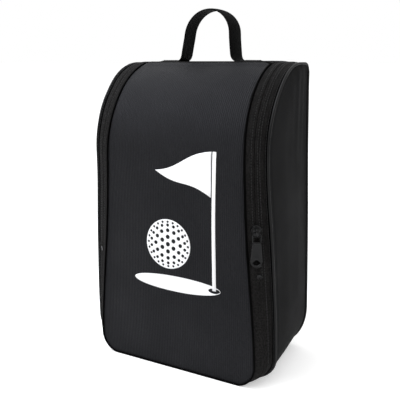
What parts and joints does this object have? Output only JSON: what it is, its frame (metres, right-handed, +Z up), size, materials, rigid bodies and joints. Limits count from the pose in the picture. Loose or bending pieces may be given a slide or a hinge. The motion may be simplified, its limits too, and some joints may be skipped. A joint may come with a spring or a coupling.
{
  "type": "golf shoe bag",
  "caption": "Upright zipped shoe bag with a front panel that curves back over the roof, a piped zip band down each side and a webbing carry handle on top.",
  "frame": {"origin": "on the floor under the middle of the bag's bounding box", "axes": "+Z up, towards the handle; -Y out of the front panel; +X to the right seen from the front, the side with the zip slider"},
  "size_m": [0.2224, 0.121, 0.388],
  "materials": {
    "shell_fabric": "charcoal-black ribbed nylon with a soft sheen",
    "zip_tape": "matt black woven zip tape",
    "zip_coil": "black nylon coil",
    "piping": "black rolled piping with a satin sheen",
    "board": "black polyethylene stiffener board",
    "webbing": "black woven nylon webbing",
    "thread": "black polyester thread",
    "print": "flat white screen print",
    "metal": "glossy black enamel on die-cast zinc"
  },
  "bodies": {
    "shell": {"front_panel_lower": "shell_fabric", "side_panel_left": "shell_fabric", "side_panel_right": "shell_fabric", "back_panel": "shell_fabric", "bottom_panel": "shell_fabric", "roof_rear_panel": "shell_fabric", "gusset_lower": "zip_tape", "zip_tape_body_left": "zip_tape", "zip_tape_body_right": "zip_tape", "zip_tape_body_top": "zip_tape", "zip_coil_body": "zip_coil", "piping_front_lower": "piping", "piping_side": "piping", "piping_back": "piping", "base_board": "board", "handle_foot_left": "webbing", "handle_foot_right": "webbing", "foot_stitching": "thread", "front_print_lower": "print"},
    "flap": {"flap_panel": "shell_fabric", "piping_flap": "piping", "zip_tape_flap_left": "zip_tape", "zip_tape_flap_right": "zip_tape", "zip_tape_flap_top": "zip_tape", "zip_coil_flap": "zip_coil", "zip_stop_left": "metal", "zip_stop_right": "metal", "front_print": "print"},
    "slider": {"slider_body": "metal"},
    "pull": {"pull_ring": "metal", "pull_tab": "metal"},
    "handle": {"handle_webbing": "webbing"}
  },
  "joints": [
    {"name": "flap_open", "type": "hinge", "parent": "shell", "child": "flap", "pos_m": [0, -0.0608, 0.114], "axis": [1, 0, 0], "range_deg": [0, 120]},
    {"name": "zip_slide", "type": "slide", "parent": "flap", "child": "slider", "axis": [-0.0452, -0.0177, 0.9988], "range_m": [-0.015, 0.056]},
    {"name": "pull_swing", "type": "hinge", "parent": "slider", "child": "pull", "pos_m": [0.09627, -0.05625, 0.166], "axis": [-0.8478, -0.5303, 0], "range_deg": [0, 160]},
    {"name": "handle_fold", "type": "hinge", "parent": "shell", "child": "handle", "pos_m": [0, 0.039, 0.3418], "axis": [1, 0, 0], "range_deg": [-80, 80]}
  ]
}
